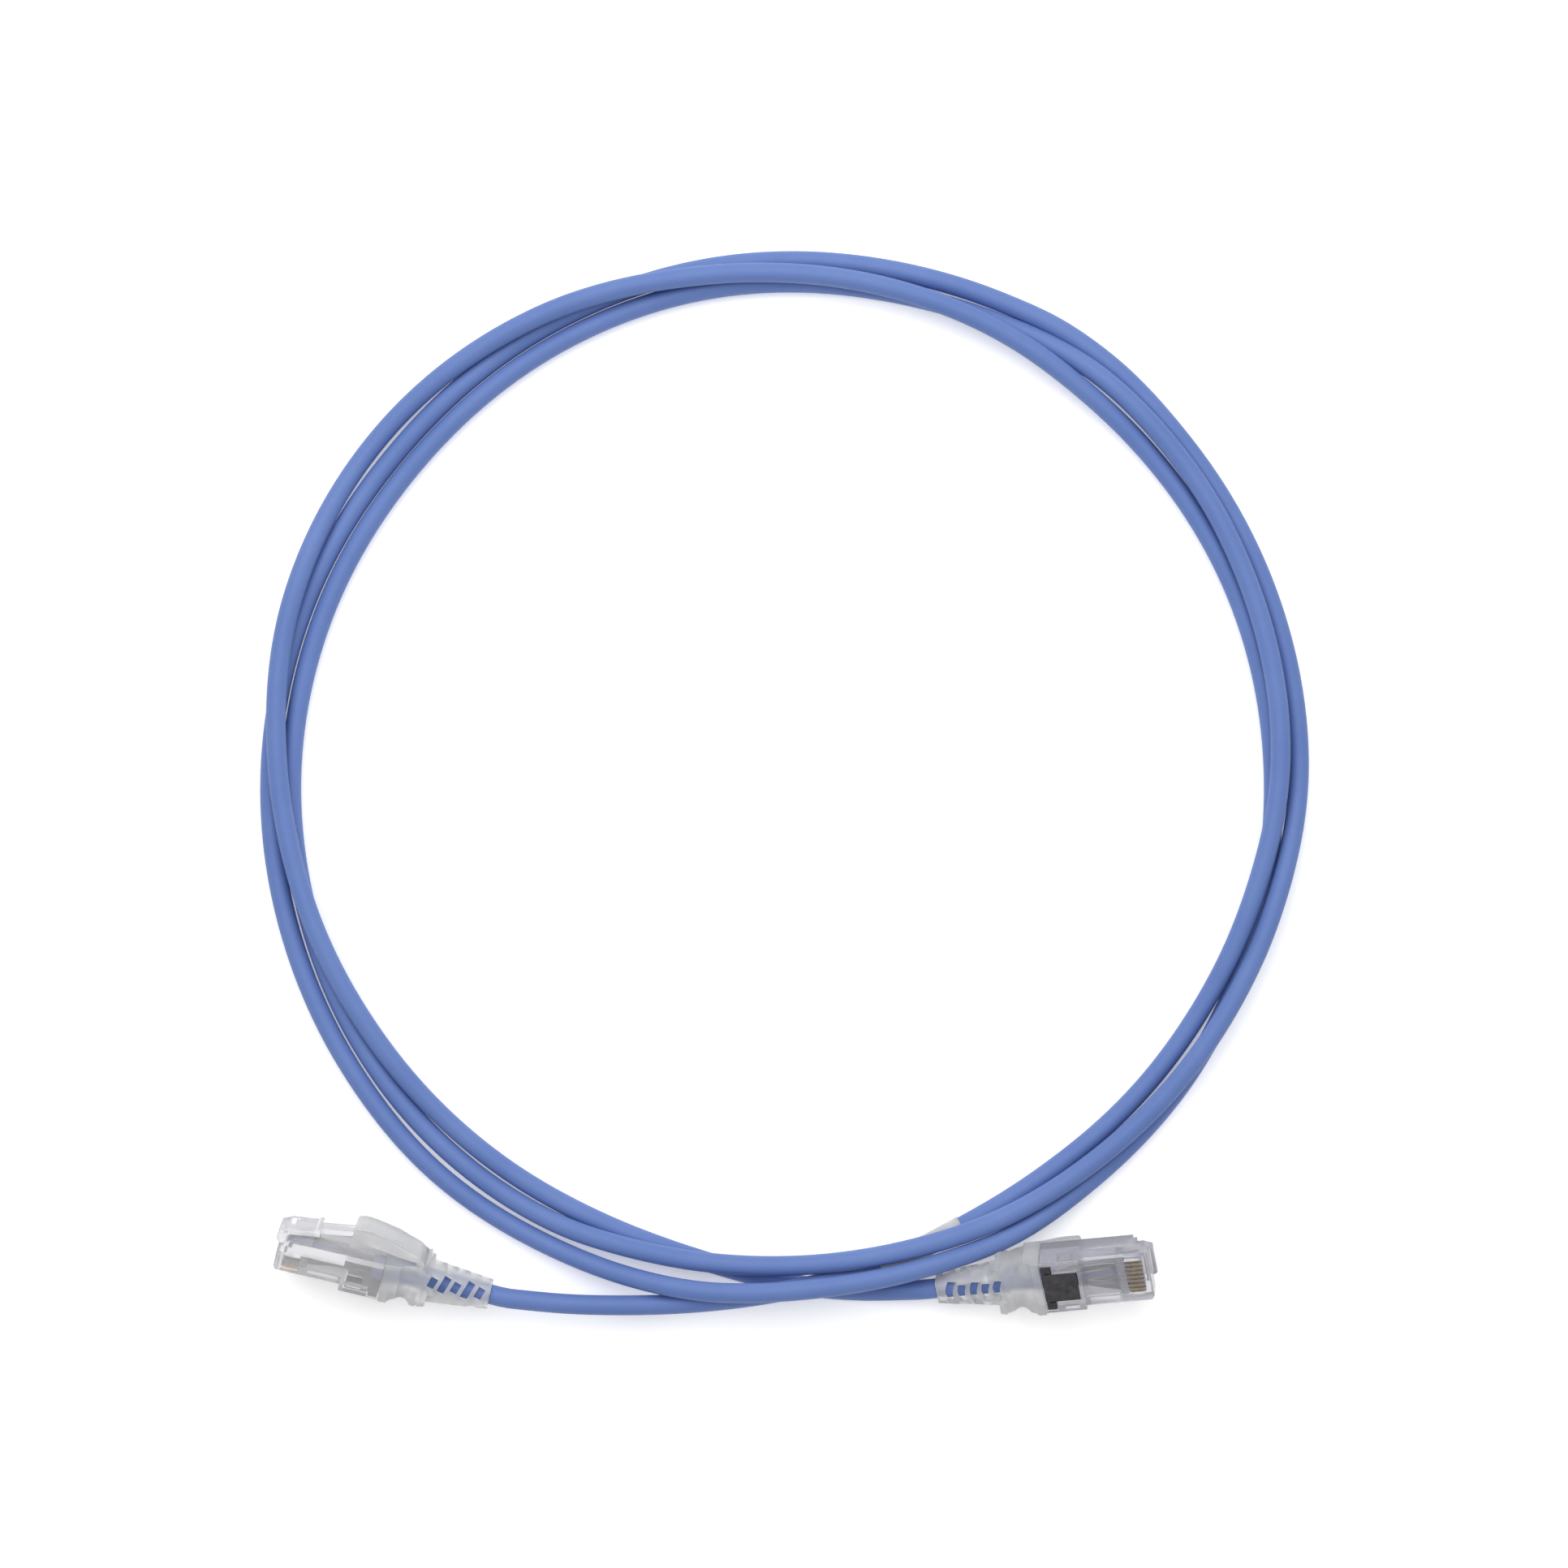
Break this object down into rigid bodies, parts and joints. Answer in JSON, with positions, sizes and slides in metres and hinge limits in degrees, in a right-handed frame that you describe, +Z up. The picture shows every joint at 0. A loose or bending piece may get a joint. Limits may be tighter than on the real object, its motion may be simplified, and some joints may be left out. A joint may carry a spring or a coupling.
{
  "type": "ethernet patch cable",
  "caption": "Slim round network patch cord laid in a flat coil, with a clear latching modular plug and a frosted snagless boot on each end.",
  "frame": {"origin": "on the table, under the middle of the box round the two plugs and their boots", "axes": "+Z up from the table, +X towards the nose of the right plug, +Y from the plugs towards the coil"},
  "size_m": [0.2147, 0.2161, 0.0177],
  "materials": {
    "cord": "satin soft vinyl",
    "label": "printed white film under clear film",
    "clear": "clear polycarbonate",
    "frosted": "frosted translucent soft vinyl",
    "gold": "gold-plated blades",
    "dark": "dark grey moulded plastic",
    "orange": "conductor insulation",
    "green": "conductor insulation",
    "blue": "conductor insulation",
    "brown": "conductor insulation"
  },
  "bodies": {
    "cord_and_plugs": {"cable": "cord", "cable_label": "label", "left_plug_body": "clear", "left_contacts": "gold", "left_wire_guide": "clear", "left_pair_orange": "orange", "left_pair_green": "green", "left_pair_blue": "blue", "left_pair_brown": "brown", "left_strain_clamp": "dark", "left_boot": "frosted", "right_plug_body": "clear", "right_contacts": "gold", "right_wire_guide": "clear", "right_pair_orange": "orange", "right_pair_green": "green", "right_pair_blue": "blue", "right_pair_brown": "brown", "right_strain_clamp": "dark", "right_boot": "frosted"},
    "left_hood": {"left_hood": "frosted"},
    "left_latch": {"left_latch": "clear"},
    "right_hood": {"right_hood": "frosted"},
    "right_latch": {"right_latch": "clear"}
  },
  "joints": [
    {"name": "left_hood_hinge", "type": "hinge", "parent": "cord_and_plugs", "child": "left_hood", "pos_m": [-0.05967, 0.00132, 0.00869], "axis": [-0.0542, -0.3386, 0.9394], "range_deg": [0, 8], "stiffness_Nm_per_rad": 0.3},
    {"name": "left_latch_hinge", "type": "hinge", "parent": "cord_and_plugs", "child": "left_latch", "pos_m": [-0.08787, 0.00678, 0.00903], "axis": [0.0542, 0.3386, -0.9394], "range_deg": [0, 8], "stiffness_Nm_per_rad": 0.3},
    {"name": "right_hood_hinge", "type": "hinge", "parent": "cord_and_plugs", "child": "right_hood", "pos_m": [0.06035, -0.0014, 0.00354], "axis": [0.189, -0.8671, -0.4608], "range_deg": [0, 8], "stiffness_Nm_per_rad": 0.3},
    {"name": "right_latch_hinge", "type": "hinge", "parent": "cord_and_plugs", "child": "right_latch", "pos_m": [0.08821, 0.00121, 0.01006], "axis": [-0.189, 0.8671, 0.4608], "range_deg": [0, 8], "stiffness_Nm_per_rad": 0.3}
  ],
  "couplings": [
    {"joint": "left_latch_hinge", "follows": "left_hood_hinge", "ratio": 1},
    {"joint": "right_latch_hinge", "follows": "right_hood_hinge", "ratio": 1}
  ]
}
